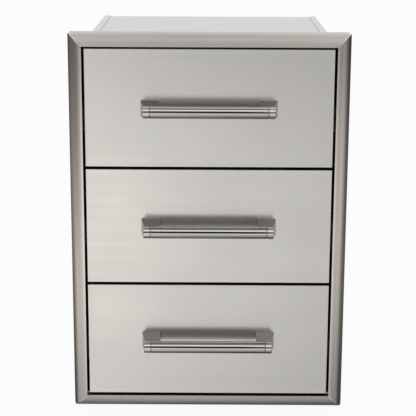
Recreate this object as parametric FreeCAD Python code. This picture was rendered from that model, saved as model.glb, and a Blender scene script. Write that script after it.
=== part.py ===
"""Built-in drawer unit for an outdoor kitchen: a sheet steel cabinet with three drawers.

The origin is the middle of the lower edge of the front frame's back, the face that rests against
the counter. +X is to the right of someone who faces the drawers, +Y goes back into the counter
and +Z is up. Everything is in millimetres.
"""
import FreeCAD, Part
import math
import os

from FreeCAD import Vector

# Front frame: four mitred members folded from sheet
opening_width = 388.0
opening_height = 561.5
frame_face = 22.0
frame_depth = 18.0
frame_sheet = 1.2
frame_lip = 2.8
frame_bulge = 4.8
frame_return = 10.0

# Cabinet
cabinet_sheet = 1.5
cabinet_depth = 445.0
cabinet_flange = 12.0
cabinet_bend = 1.0
flange_chamfer = 7.0
weld_setback = 3.0
mount_hole_radius = 2.25
mount_hole_front = 30.0
mount_hole_rear = 115.0

# Drawer fronts
drawer_count = 3
front_side_clearance = 3.5
front_end_clearance = 3.25
front_depth = 18.0
front_sheet = 1.0
front_edge_radius = 1.6
front_gap = 4.5
front_recess = 4.0
liner_sheet = 0.8
liner_flange = 8.0
liner_bend = 0.4
liner_clearance = 0.2

# Drawer tubs
tub_sheet = 1.0
tub_bend = 1.0
tub_above_front_bottom = 14.0
tub_below_front_top = 28.0
tub_rear_clearance = 27.0
tub_rim = 8.0
tub_rim_lip = 5.0
tub_back_flange = 10.0
tub_back_drop = 6.0

# Drawer slides: three nested rails that run on two sets of balls
slide_thickness = 12.7
slide_height = 45.0
slide_setback = 2.0
slide_rear_clearance = 27.0
slide_above_tub_bottom = 60.0
rail_sheet = 1.2
rail_bend = 0.6
outer_rail_clearance = 3.7
outer_rail_lip = 2.5
middle_rail_offset = 2.2
middle_rail_clearance = 1.7
drawer_rail_clearance = 5.0
ball_diameter = 4.0
ball_clearance = 0.05
balls_in_row = 5
ball_pitch = 34.0
outer_ball_inset = 2.8
inner_ball_inset = 2.3
cage_sheet = 0.5
cage_bend = 0.3
cage_end = 17.0
cage_clearance = 0.25
cage_advance = 3.0
cage_hole_clearance = 0.12
outer_cage_edge = 1.55
inner_cage_edge = 0.45

# Rivets of the slides
rivet_radius = 2.0
rivet_clearance = 0.05
rivet_head_radius = 4.0
rivet_head_height = 1.2
rivet_head_edge = 0.7
rivet_end_distance = 40.0

# Handles
handle_length = 200.0
handle_diameter = 19.0
handle_wall = 1.5
handle_standoff = 35.0
cap_length = 11.0
cap_plug_length = 22.0
cap_plug_clearance = 0.05
cap_groove_width = 0.9
cap_groove_depth = 0.8
cap_chamfer = 0.6
bracket_tip_width = 23.0
bracket_tip_step = 2.8
bracket_flare = 6.0
bracket_wall_height = 25.4
bracket_inset = 1.0
bracket_edge_radius = 0.8
bracket_seat_clearance = 0.05
handle_screw_radius = 2.5
handle_screw_clearance = 0.1
handle_screw_head_radius = 4.6
handle_screw_head_height = 2.8
handle_screw_head_edge = 1.2
handle_screw_reach = 3.0

# Places that follow from the sizes
frame_half_width = opening_width / 2 + frame_face
frame_half_height = opening_height / 2 + frame_face
middle_z = frame_half_height
cabinet_half = opening_width / 2 + cabinet_sheet
cabinet_bottom_z = middle_z - opening_height / 2 - cabinet_sheet
cabinet_top_z = middle_z + opening_height / 2 + cabinet_sheet
front_y = front_recess - frame_depth
liner_y = front_y + front_depth
front_width = opening_width - 2 * front_side_clearance
fronts_height = opening_height - 2 * front_end_clearance - (drawer_count - 1) * front_gap
front_height = fronts_height / drawer_count
front_pitch = front_height + front_gap
tub_half = opening_width / 2 - slide_thickness
tub_height = front_height - tub_above_front_bottom - tub_below_front_top
tub_length = cabinet_depth - cabinet_flange - tub_rear_clearance - liner_y
handle_y = front_y - handle_standoff
handle_radius = handle_diameter / 2
bracket_tip_height = handle_diameter - bracket_tip_step
bracket_outer_x = handle_length / 2 - bracket_inset
bracket_inner_x = bracket_outer_x - bracket_tip_width
bracket_screw_x = (bracket_outer_x + bracket_inner_x) / 2
slide_y = liner_y + slide_setback
slide_length = cabinet_depth - cabinet_flange - slide_rear_clearance - slide_y
outer_rail_width = slide_thickness - outer_rail_clearance
middle_rail_width = slide_thickness - middle_rail_offset - middle_rail_clearance
drawer_rail_width = slide_thickness - drawer_rail_clearance
ball_space = ball_diameter + 2 * ball_clearance
outer_ball_row = middle_rail_offset + outer_ball_inset
inner_ball_row = drawer_rail_clearance + inner_ball_inset
cage_length = (balls_in_row - 1) * ball_pitch + 2 * cage_end
cage_start = (slide_length - cage_length) / 2 - cage_advance
outer_cage_width = outer_rail_width - rail_sheet - cage_clearance - outer_cage_edge
inner_cage_width = middle_rail_width - rail_sheet - cage_clearance - inner_cage_edge
middle_rail_height = slide_height - 2 * (rail_sheet + ball_space)
drawer_rail_height = middle_rail_height - 2 * (rail_sheet + ball_space)


def front_z(number):
    """Height of the middle of a drawer front. Drawer 1 is the top one."""
    middle_drawer = (drawer_count + 1) / 2
    return middle_z + (middle_drawer - number) * front_pitch


def tub_bottom(number):
    """Height of the underside of a drawer's tub."""
    return front_z(number) - front_height / 2 + tub_above_front_bottom


def slide_z(number):
    """Height of the middle of a drawer's slides."""
    return tub_bottom(number) + slide_above_tub_bottom


def box(x0, x1, y0, y1, z0, z1):
    """A block between two corners."""
    return Part.makeBox(x1 - x0, y1 - y0, z1 - z0, Vector(x0, y0, z0))


def rod(radius, start, direction, length):
    """A round bar from a point along a direction."""
    return Part.makeCylinder(radius, length, start, direction)


def mirrored(shape):
    """The same piece on the other side of the unit."""
    return shape.mirror(Vector(0, 0, 0), Vector(1, 0, 0))


def rounded_face(corners, place):
    """A flat face from corners (u, v, radius), each corner rounded, put in space by place(u, v)."""
    edges = []
    starts = []
    ends = []
    count = len(corners)
    for index, (u, v, radius) in enumerate(corners):
        here = Vector(u, v, 0)
        before = Vector(corners[index - 1][0], corners[index - 1][1], 0)
        after = Vector(corners[(index + 1) % count][0], corners[(index + 1) % count][1], 0)
        way_in = (here - before).normalize()
        way_out = (after - here).normalize()
        turn = way_in.getAngle(way_out)
        setback = radius * math.tan(turn / 2)
        start = here - way_in * setback
        end = here + way_out * setback
        starts.append(start)
        ends.append(end)
        if setback > 0:
            inward = (way_out - way_in).normalize()
            depth = radius * (1 / math.cos(turn / 2) - 1)
            middle = here + inward * depth
            arc = Part.Arc(place(start.x, start.y), place(middle.x, middle.y), place(end.x, end.y))
            edges.append(arc.toShape())
    for index in range(count):
        start = ends[index - 1]
        end = starts[index]
        if start.distanceToPoint(end) > 1e-6:
            edges.append(Part.makeLine(place(start.x, start.y), place(end.x, end.y)))
    return Part.Face(Part.Wire(Part.__sortEdges__(edges)))


def folded_sheet(path, thickness, inside_radius, place):
    """The section of a folded sheet whose thickness lies to the left of the path."""
    points = [Vector(u, v, 0) for u, v in path]
    ways = [(points[i + 1] - points[i]).normalize() for i in range(len(points) - 1)]
    near = []
    far = []
    for index, point in enumerate(points):
        first = ways[max(index - 1, 0)]
        second = ways[min(index, len(ways) - 1)]
        turn = first.cross(second).z
        left = Vector(-first.y - second.y, first.x + second.x, 0).normalize()
        stretch = thickness / math.cos(first.getAngle(second) / 2)
        offset = point + left * stretch
        near_radius = 0.0
        far_radius = 0.0
        if turn > 0.01:
            near_radius = inside_radius + thickness
            far_radius = inside_radius
        elif turn < -0.01:
            near_radius = inside_radius
            far_radius = inside_radius + thickness
        near.append((point.x, point.y, near_radius))
        far.append((offset.x, offset.y, far_radius))
    return rounded_face(near + far[::-1], place)


def pan(x0, x1, y0, y1, z0, z1, sheet, radius, open_side):
    """A shallow folded tray. Its open side looks along +Y or -Y: open_side is 1 or -1."""
    outer = box(x0, x1, y0, y1, z0, z1)
    closed_y = y0 if open_side > 0 else y1
    open_y = y1 if open_side > 0 else y0
    outer = outer.makeFillet(radius, closed_edges(outer, closed_y, open_y))
    inner_y0 = y0 + sheet if open_side > 0 else y0
    inner_y1 = y1 if open_side > 0 else y1 - sheet
    inner = box(x0 + sheet, x1 - sheet, inner_y0, inner_y1, z0 + sheet, z1 - sheet)
    inner_closed = closed_y + sheet * open_side
    inner = inner.makeFillet(radius - sheet, closed_edges(inner, inner_closed, open_y))
    return outer.cut(inner)


def closed_edges(block, closed_y, open_y):
    """The edges of a block that a tray rounds: all but the four round its open side."""
    chosen = []
    for edge in block.Edges:
        on_open_side = all(abs(vertex.Y - open_y) < 1e-6 for vertex in edge.Vertexes)
        if not on_open_side:
            chosen.append(edge)
    return chosen


def arc_centre(start, end, rise):
    """Centre and radius of the arc that joins two points and rises to the right of the chord."""
    chord = end - start
    half = chord.Length / 2
    radius = (half * half + rise * rise) / (2 * rise)
    outward = Vector(chord.y, -chord.x, 0).normalize()
    crown = (start + end) * 0.5 + outward * rise
    return crown - outward * radius, radius


def arc_point(centre, radius, v):
    """Point of an arc on the side of greater u, at a given v."""
    return Vector(centre.x + math.sqrt(radius * radius - (v - centre.y) ** 2), v, 0)


def arc_between(start, end, centre, radius, place):
    """An arc about a centre, from start to end, put in space by place(u, v)."""
    middle = centre + ((start + end) * 0.5 - centre).normalize() * radius
    ends = [place(point.x, point.y) for point in (start, middle, end)]
    return Part.Arc(*ends).toShape()


def frame_section(place):
    """Section of the frame's folded sheet: u is the distance out from the opening, v is Y."""
    lip_end = Vector(frame_lip, -frame_depth, 0)
    outer_end = Vector(frame_face, 0, 0)
    centre, radius = arc_centre(lip_end, outer_end, frame_bulge)
    inner_radius = radius - frame_sheet
    inner_lip = arc_point(centre, inner_radius, frame_sheet - frame_depth)
    inner_end = arc_point(centre, inner_radius, -frame_sheet)
    return_end = frame_face - frame_return
    near_side = [
        (inner_lip.x, inner_lip.y),
        (frame_sheet, frame_sheet - frame_depth),
        (frame_sheet, -weld_setback),
        (0, -weld_setback),
        (0, -frame_depth),
        (lip_end.x, lip_end.y),
    ]
    back_side = [
        (outer_end.x, outer_end.y),
        (return_end, 0),
        (return_end, -frame_sheet),
        (inner_end.x, inner_end.y),
    ]
    edges = [arc_between(lip_end, outer_end, centre, radius, place)]
    edges.append(arc_between(inner_end, inner_lip, centre, inner_radius, place))
    for side in (near_side, back_side):
        for first, second in zip(side, side[1:]):
            edges.append(Part.makeLine(place(*first), place(*second)))
    return Part.Face(Part.Wire(Part.__sortEdges__(edges)))


def mitre_block(corners):
    """A block through the frame's depth that ends a member at its two mitres."""
    points = [Vector(x, -frame_depth - 1, z) for x, z in corners]
    face = Part.Face(Part.makePolygon(points + points[:1]))
    return face.extrude(Vector(0, frame_depth + 2, 0))


def frame_top_rail():
    """The frame's upper member."""
    def place(u, v):
        return Vector(-frame_half_width, v, middle_z + opening_height / 2 + u)

    bar = frame_section(place).extrude(Vector(2 * frame_half_width, 0, 0))
    outer_x = frame_half_width + 1
    outer_z = middle_z + frame_half_height + 1
    inner_x = opening_width / 2 - 1
    inner_z = middle_z + opening_height / 2 - 1
    corners = [(-outer_x, outer_z), (outer_x, outer_z), (inner_x, inner_z), (-inner_x, inner_z)]
    return bar.common(mitre_block(corners))


def frame_right_stile():
    """The frame's member at the right."""
    def place(u, v):
        return Vector(opening_width / 2 + u, v, middle_z - frame_half_height)

    bar = frame_section(place).extrude(Vector(0, 0, 2 * frame_half_height))
    outer_x = frame_half_width + 1
    outer_z = frame_half_height + 1
    inner_x = opening_width / 2 - 1
    inner_z = opening_height / 2 - 1
    corners = [
        (outer_x, middle_z - outer_z),
        (outer_x, middle_z + outer_z),
        (inner_x, middle_z + inner_z),
        (inner_x, middle_z - inner_z),
    ]
    return bar.common(mitre_block(corners))


def upside_down(shape):
    """The same piece at the other end of the cabinet's height."""
    return shape.mirror(Vector(0, 0, middle_z), Vector(0, 0, 1))


def cabinet_right_side():
    """Side panel: folded in over the top and under the bottom, folded out behind the frame."""
    def across(u, v):
        return Vector(u, 0, v)

    def along(u, v):
        return Vector(u, v, cabinet_bottom_z + cabinet_sheet)

    fold_x = cabinet_half - cabinet_flange
    channel = [
        (fold_x, cabinet_bottom_z),
        (cabinet_half, cabinet_bottom_z),
        (cabinet_half, cabinet_top_z),
        (fold_x, cabinet_top_z),
    ]
    web = folded_sheet(channel, cabinet_sheet, cabinet_bend, across)
    panel = web.extrude(Vector(0, cabinet_depth, 0))
    inner_x = opening_width / 2
    angle = [(inner_x, 0), (inner_x, -weld_setback), (inner_x + cabinet_flange, -weld_setback)]
    flange = folded_sheet(angle, cabinet_sheet, cabinet_bend, along)
    panel = panel.fuse(flange.extrude(Vector(0, 0, opening_height)))
    for z0 in (cabinet_bottom_z - 1, cabinet_top_z - cabinet_sheet - 1):
        panel = panel.cut(corner_cut(fold_x, z0))
    for y in (mount_hole_front, cabinet_depth - mount_hole_rear):
        for z in (slide_z(2) - front_pitch / 2, slide_z(2) + front_pitch / 2):
            start = Vector(inner_x - 1, y, z)
            panel = panel.cut(rod(mount_hole_radius, start, Vector(1, 0, 0), cabinet_sheet + 2))
    for number in range(1, drawer_count + 1):
        panel = panel.cut(rivet_holes(number, inner_x + 2 * cabinet_sheet))
    return panel.removeSplitter()


def corner_cut(fold_x, z0):
    """Wedge that takes the rear inner corner off a side panel's fold."""
    points = [
        Vector(fold_x - 1, cabinet_depth - flange_chamfer - 1, z0),
        Vector(fold_x - 1, cabinet_depth + 1, z0),
        Vector(fold_x + flange_chamfer + 1, cabinet_depth + 1, z0),
    ]
    face = Part.Face(Part.makePolygon(points + points[:1]))
    return face.extrude(Vector(0, 0, cabinet_sheet + 2))


def cabinet_top():
    """Roof sheet between the bends of the side panels, folded up behind the frame's top rail."""
    inner_x = opening_width / 2 - cabinet_bend
    under = cabinet_top_z - 2 * cabinet_sheet

    def place(u, v):
        return Vector(-inner_x, u, v)

    path = [(-weld_setback, under + cabinet_flange), (-weld_setback, under), (cabinet_depth, under)]
    section = folded_sheet(path, cabinet_sheet, cabinet_bend, place)
    return section.extrude(Vector(2 * inner_x, 0, 0))


def cabinet_back():
    """Back panel: a tray with its rim folded forward between the other panels."""
    inner_x = opening_width / 2
    low = cabinet_bottom_z + 2 * cabinet_sheet
    high = cabinet_top_z - 2 * cabinet_sheet
    return pan(-inner_x, inner_x, cabinet_depth - cabinet_flange, cabinet_depth,
               low, high, cabinet_sheet, cabinet_sheet + cabinet_bend, -1)


def rivet_places():
    """Distances of the rivets from the front end of a rail."""
    return (rivet_end_distance, slide_length / 2, slide_length - rivet_end_distance)


def rivet_holes(number, end_x):
    """Holes through the right cabinet rail and whatever lies outside it, up to end_x."""
    radius = rivet_radius + rivet_clearance
    start_x = opening_width / 2 - rail_sheet
    holes = []
    for distance in rivet_places():
        start = Vector(start_x - 0.2, slide_y + distance, slide_z(number))
        holes.append(rod(radius, start, Vector(1, 0, 0), end_x - start_x))
    return Part.makeCompound(holes)


def rivet(start, direction, shank_length):
    """A rivet: its shank starts flush at start and its rounded head lies past the shank."""
    shank = rod(rivet_radius, start, direction, shank_length)
    seat = start + direction * shank_length
    head = rod(rivet_head_radius, seat, direction, rivet_head_height)
    rim = [edge for edge in head.Edges if is_far_rim(edge, seat, direction, rivet_head_height)]
    head = head.makeFillet(rivet_head_edge, rim)
    return shank.fuse(head).removeSplitter()


def is_far_rim(edge, seat, direction, height):
    """Whether an edge is the round rim at the far end of a head."""
    if not isinstance(edge.Curve, Part.Circle):
        return False
    return abs((edge.Curve.Center - seat).dot(direction) - height) < 1e-6


def cabinet_rivets():
    """All the rivets that hold the cabinet rails, with their heads outside the side panels."""
    rivets = []
    start_x = opening_width / 2 - rail_sheet
    for number in range(1, drawer_count + 1):
        for distance in rivet_places():
            start = Vector(start_x, slide_y + distance, slide_z(number))
            piece = rivet(start, Vector(1, 0, 0), rail_sheet + cabinet_sheet)
            rivets.append(piece)
            rivets.append(mirrored(piece))
    return Part.makeCompound(rivets)


def drawer_rivets(number):
    """The rivets that hold a drawer's own rails, with their heads inside the tub."""
    rivets = []
    for distance in rivet_places():
        start = Vector(tub_half + rail_sheet, slide_y + distance, slide_z(number))
        piece = rivet(start, Vector(-1, 0, 0), rail_sheet + tub_sheet)
        rivets.append(piece)
        rivets.append(mirrored(piece))
    return Part.makeCompound(rivets)


def rail(number, path, sheet, bend, start, length):
    """A folded rail at the right: u is the distance in from the side panel, v is height."""
    def place(u, v):
        return Vector(opening_width / 2 - u, start, slide_z(number) + v)

    section = folded_sheet(path, sheet, bend, place)
    return section.extrude(Vector(0, length, 0))


def cabinet_rail(number):
    """Outer rail of a slide, fixed to the side panel."""
    half = slide_height / 2
    width = outer_rail_width
    lip = half - outer_rail_lip
    path = [(width, lip), (width, half), (0, half), (0, -half), (width, -half), (width, -lip)]
    piece = rail(number, path, rail_sheet, rail_bend, slide_y, slide_length)
    return piece.cut(rivet_holes(number, opening_width / 2 + 1))


def middle_rail(number):
    """Middle rail of a slide, which runs at half the drawer's travel."""
    half = middle_rail_height / 2
    near = middle_rail_offset
    far = middle_rail_offset + middle_rail_width
    path = [(far, half), (near, half), (near, -half), (far, -half)]
    return rail(number, path, rail_sheet, rail_bend, slide_y, slide_length)


def drawer_rail(number):
    """Inner rail of a slide, fixed to the tub."""
    half = drawer_rail_height / 2
    near = slide_thickness - drawer_rail_width
    path = [(near, -half), (slide_thickness, -half), (slide_thickness, half), (near, half)]
    piece = rail(number, path, rail_sheet, rail_bend, slide_y, slide_length)
    radius = rivet_radius + rivet_clearance
    for distance in rivet_places():
        start = Vector(tub_half - 1, slide_y + distance, slide_z(number))
        piece = piece.cut(rod(radius, start, Vector(1, 0, 0), rail_sheet + 2))
    return piece


def ball_cage(number, web_offset, width, row_offset, row_height):
    """A ball cage at the right and its two rows of balls, as separate solids."""
    half = row_height + cage_sheet / 2
    near = web_offset
    far = web_offset + width
    path = [(far, half), (near, half), (near, -half), (far, -half)]
    start_y = slide_y + cage_start
    cage = rail(number, path, cage_sheet, cage_bend, start_y, cage_length)
    x = opening_width / 2 - row_offset
    first = start_y + (cage_length - (balls_in_row - 1) * ball_pitch) / 2
    balls = []
    for index in range(balls_in_row):
        y = first + index * ball_pitch
        bottom = Vector(x, y, slide_z(number) - half - 1)
        hole_radius = ball_diameter / 2 + cage_hole_clearance
        cage = cage.cut(rod(hole_radius, bottom, Vector(0, 0, 1), 2 * half + 2))
        for height in (-row_height, row_height):
            ball = Part.makeSphere(ball_diameter / 2, Vector(x, y, slide_z(number) + height))
            balls.append(ball)
    return [cage] + balls


def both_sides(solids):
    """A group of solids and their mirror images."""
    return Part.makeCompound(solids + [mirrored(solid) for solid in solids])


def outer_ball_cages(number):
    """Cages and balls between the cabinet rails and the middle rails, left and right."""
    row_height = middle_rail_height / 2 + ball_space / 2
    web_offset = rail_sheet + cage_clearance
    return both_sides(ball_cage(number, web_offset, outer_cage_width, outer_ball_row, row_height))


def inner_ball_cages(number):
    """Cages and balls between the middle rails and the drawer rails, left and right."""
    row_height = drawer_rail_height / 2 + ball_space / 2
    web_offset = middle_rail_offset + rail_sheet + cage_clearance
    return both_sides(ball_cage(number, web_offset, inner_cage_width, inner_ball_row, row_height))


def handle_screw_holes(number):
    """The paths of both handle screws, with their clearance."""
    radius = handle_screw_radius + handle_screw_clearance
    length = liner_y - handle_y + handle_screw_reach + 2
    holes = []
    for x in (-bracket_screw_x, bracket_screw_x):
        start = Vector(x, liner_y + 1, front_z(number))
        holes.append(rod(radius, start, Vector(0, -1, 0), length))
    return Part.makeCompound(holes)


def front_skin(number):
    """Outer face of a drawer front: a shallow tray open to the rear."""
    half = front_height / 2
    skin = pan(-front_width / 2, front_width / 2, front_y, liner_y,
               front_z(number) - half, front_z(number) + half, front_sheet, front_edge_radius, 1)
    return skin.cut(handle_screw_holes(number))


def front_liner(number):
    """Inner face of a drawer front: a tray that closes the outer one from behind."""
    edge = front_sheet + liner_clearance
    half_width = front_width / 2 - edge
    half_height = front_height / 2 - edge
    liner = pan(-half_width, half_width, liner_y - liner_flange, liner_y,
                front_z(number) - half_height, front_z(number) + half_height,
                liner_sheet, liner_sheet + liner_bend, -1)
    return liner.cut(handle_screw_holes(number))


def tub(number):
    """Bottom and sides of a drawer, folded from one sheet with a turned-out rim."""
    bottom = tub_bottom(number)
    under_rim = bottom + tub_height - tub_sheet
    lip = bottom + tub_height - tub_rim_lip
    rim_x = tub_half + tub_rim - tub_sheet

    def place(u, v):
        return Vector(u, liner_y, v)

    path = [
        (-rim_x, lip),
        (-rim_x, under_rim),
        (-tub_half, under_rim),
        (-tub_half, bottom),
        (tub_half, bottom),
        (tub_half, under_rim),
        (rim_x, under_rim),
        (rim_x, lip),
    ]
    shell = folded_sheet(path, tub_sheet, tub_bend, place).extrude(Vector(0, tub_length, 0))
    radius = rivet_radius + rivet_clearance
    for distance in rivet_places():
        start = Vector(-tub_half - 1, slide_y + distance, slide_z(number))
        shell = shell.cut(rod(radius, start, Vector(1, 0, 0), 2 * tub_half + 2))
    return shell


def tub_back(number):
    """Rear wall of a drawer, with its rim folded forward against the tub."""
    inner_x = tub_half - tub_sheet
    rear = liner_y + tub_length
    bottom = tub_bottom(number) + tub_sheet
    top = tub_bottom(number) + tub_height - tub_back_drop
    return pan(-inner_x, inner_x, rear - tub_back_flange, rear, bottom, top,
               tub_sheet, tub_sheet + tub_bend, -1)


def handle_tube(number):
    """The grip: a round tube between the two end caps."""
    half = handle_length / 2 - cap_length
    start = Vector(-half, handle_y, front_z(number))
    outer = rod(handle_radius, start, Vector(1, 0, 0), 2 * half)
    inner = rod(handle_radius - handle_wall, start, Vector(1, 0, 0), 2 * half)
    return outer.cut(inner).cut(handle_screw_holes(number))


def handle_caps(number):
    """Two end caps with a plug in the tube and a fine groove where they meet it."""
    z = front_z(number)
    outward = Vector(1, 0, 0)
    joint = Vector(handle_length / 2 - cap_length, handle_y, z)
    end = rod(handle_radius, joint, outward, cap_length)
    rim = [edge for edge in end.Edges if is_far_rim(edge, joint, outward, cap_length)]
    end = end.makeChamfer(cap_chamfer, rim)
    ring = rod(handle_radius + 1, joint, outward, cap_groove_width)
    ring = ring.cut(rod(handle_radius - cap_groove_depth, joint, outward, cap_groove_width))
    end = end.cut(ring)
    plug_radius = handle_radius - handle_wall - cap_plug_clearance
    plug = rod(plug_radius, joint, Vector(-1, 0, 0), cap_plug_length)
    cap = end.fuse(plug).cut(handle_screw_holes(number)).removeSplitter()
    return Part.makeCompound([cap, mirrored(cap)])


def bracket_outline(number, y, outer_x, height):
    """A handle bracket's cross-section at one distance from the drawer."""
    low_z = front_z(number) - height / 2
    high_z = front_z(number) + height / 2
    points = [
        Vector(bracket_inner_x, y, low_z),
        Vector(outer_x, y, low_z),
        Vector(outer_x, y, high_z),
        Vector(bracket_inner_x, y, high_z),
    ]
    return Part.makePolygon(points + points[:1])


def handle_brackets(number):
    """Two brackets that widen and grow higher towards the drawer and cradle the tube."""
    tip = bracket_outline(number, handle_y, bracket_outer_x, bracket_tip_height)
    wall = bracket_outline(number, front_y, bracket_outer_x + bracket_flare, bracket_wall_height)
    block = Part.makeLoft([tip, wall], True, True)
    long_edges = []
    for edge in block.Edges:
        first, second = edge.Vertexes
        if abs(first.Y - second.Y) > handle_standoff / 2:
            long_edges.append(edge)
    block = block.makeFillet(bracket_edge_radius, long_edges)
    seat_start = Vector(bracket_inner_x - 5, handle_y, front_z(number))
    seat_radius = handle_radius + bracket_seat_clearance
    seat_length = bracket_tip_width + bracket_flare + 10
    bracket = block.cut(rod(seat_radius, seat_start, Vector(1, 0, 0), seat_length))
    bracket = bracket.cut(handle_screw_holes(number))
    return Part.makeCompound([bracket, mirrored(bracket)])


def handle_screws(number):
    """Two screws from inside the drawer through the brackets into the caps' plugs."""
    forward = Vector(0, -1, 0)
    seat = Vector(bracket_screw_x, liner_y, front_z(number))
    shank = rod(handle_screw_radius, seat, forward, liner_y - handle_y + handle_screw_reach)
    head = rod(handle_screw_head_radius, seat, -forward, handle_screw_head_height)
    rim = [edge for edge in head.Edges if is_far_rim(edge, seat, -forward, handle_screw_head_height)]
    head = head.makeFillet(handle_screw_head_edge, rim)
    screw = shank.fuse(head).removeSplitter()
    return Part.makeCompound([screw, mirrored(screw)])


def export(name, shape):
    """Write one sub-part."""
    shape.exportStep("parts/" + name + ".step")


def export_cabinet():
    """Write the frame, the cabinet's panels and their rivets."""
    top_rail = frame_top_rail()
    right_stile = frame_right_stile()
    right_side = cabinet_right_side()
    roof = cabinet_top()
    export("frame_top_rail", top_rail)
    export("frame_bottom_rail", upside_down(top_rail))
    export("frame_right_stile", right_stile)
    export("frame_left_stile", mirrored(right_stile))
    export("cabinet_right_side", right_side)
    export("cabinet_left_side", mirrored(right_side))
    export("cabinet_top", roof)
    export("cabinet_bottom", upside_down(roof))
    export("cabinet_back", cabinet_back())
    export("cabinet_rivets", cabinet_rivets())


def export_drawer(number):
    """Write one drawer with its slides. Drawer 1 is the top one."""
    name = "drawer_" + str(number) + "_"
    fixed_rail = cabinet_rail(number)
    own_rail = drawer_rail(number)
    export(name + "cabinet_rail_right", fixed_rail)
    export(name + "cabinet_rail_left", mirrored(fixed_rail))
    export(name + "outer_ball_cages", outer_ball_cages(number))
    export(name + "middle_rails", both_sides([middle_rail(number)]))
    export(name + "inner_ball_cages", inner_ball_cages(number))
    export(name + "rail_right", own_rail)
    export(name + "rail_left", mirrored(own_rail))
    export(name + "rivets", drawer_rivets(number))
    export(name + "front_skin", front_skin(number))
    export(name + "front_liner", front_liner(number))
    export(name + "tub", tub(number))
    export(name + "tub_back", tub_back(number))
    export(name + "handle_tube", handle_tube(number))
    export(name + "handle_caps", handle_caps(number))
    export(name + "handle_brackets", handle_brackets(number))
    export(name + "handle_screws", handle_screws(number))


os.makedirs("parts", exist_ok=True)
export_cabinet()
for drawer_number in range(1, drawer_count + 1):
    export_drawer(drawer_number)
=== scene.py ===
"""Looks of a built-in drawer unit for an outdoor kitchen.

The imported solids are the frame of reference: metres, +X to the right of someone who faces the
drawers, +Y back into the counter and +Z up. The folded front frame, the drawers' skins and the
tube handles are modelled here, and the other solids get their finishes.
"""
from __future__ import annotations

import logging
import math
from dataclasses import dataclass
from enum import Enum
from functools import cache
from typing import Callable, Sequence, Union

import bmesh
import bpy
from mathutils import Matrix, Vector


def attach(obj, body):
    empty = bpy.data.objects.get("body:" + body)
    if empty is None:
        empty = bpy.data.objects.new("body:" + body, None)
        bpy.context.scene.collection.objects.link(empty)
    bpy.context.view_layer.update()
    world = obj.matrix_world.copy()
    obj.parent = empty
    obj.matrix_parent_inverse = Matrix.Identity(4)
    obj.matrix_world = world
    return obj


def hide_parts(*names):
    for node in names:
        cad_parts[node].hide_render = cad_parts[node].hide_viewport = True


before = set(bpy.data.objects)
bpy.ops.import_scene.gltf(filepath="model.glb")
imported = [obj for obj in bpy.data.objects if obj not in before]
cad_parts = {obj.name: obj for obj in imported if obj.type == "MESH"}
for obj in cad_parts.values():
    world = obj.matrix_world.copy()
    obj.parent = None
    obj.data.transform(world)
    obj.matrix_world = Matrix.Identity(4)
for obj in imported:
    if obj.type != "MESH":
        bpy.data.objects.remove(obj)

LOG = logging.getLogger("drawer_unit")
MM = 0.001
TINY = 0.02 * MM
MERGE_WITHIN = 0.001 * MM
CUT_WITHIN = 0.0001 * MM
SQUARE_ON = 0.99
NOISE_LOW = 0.3
NOISE_HIGH = 0.7
QUARTER_TURN = 0.25
SECOND_FINISH = 1
THIRD_FINISH = 2

WHITE = (1.0, 1.0, 1.0, 1.0)
FORWARD = Vector((0.0, -1.0, 0.0))
ACROSS_X = (0.0, math.pi / 2, 0.0)
UPRIGHT = (math.pi / 2, 0.0, 0.0)

Number = Union[float, bpy.types.NodeSocket]
Colour = tuple[float, float, float]


class Grain(Enum):
    """Which way a sheet or a bar was brushed, or round X as a piece is turned."""

    ALONG_X = 0
    ALONG_Y = 1
    ALONG_Z = 2
    ROUND_X = 3


class Element(Enum):
    """What a selection in edit mode is made of."""

    CORNERS = "VERT"
    EDGES = "EDGE"
    FACES = "FACE"


class Side(Enum):
    """Which side of the unit a piece is on, as its sign along X."""

    LEFT = -1
    RIGHT = 1


# Modelling


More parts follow.
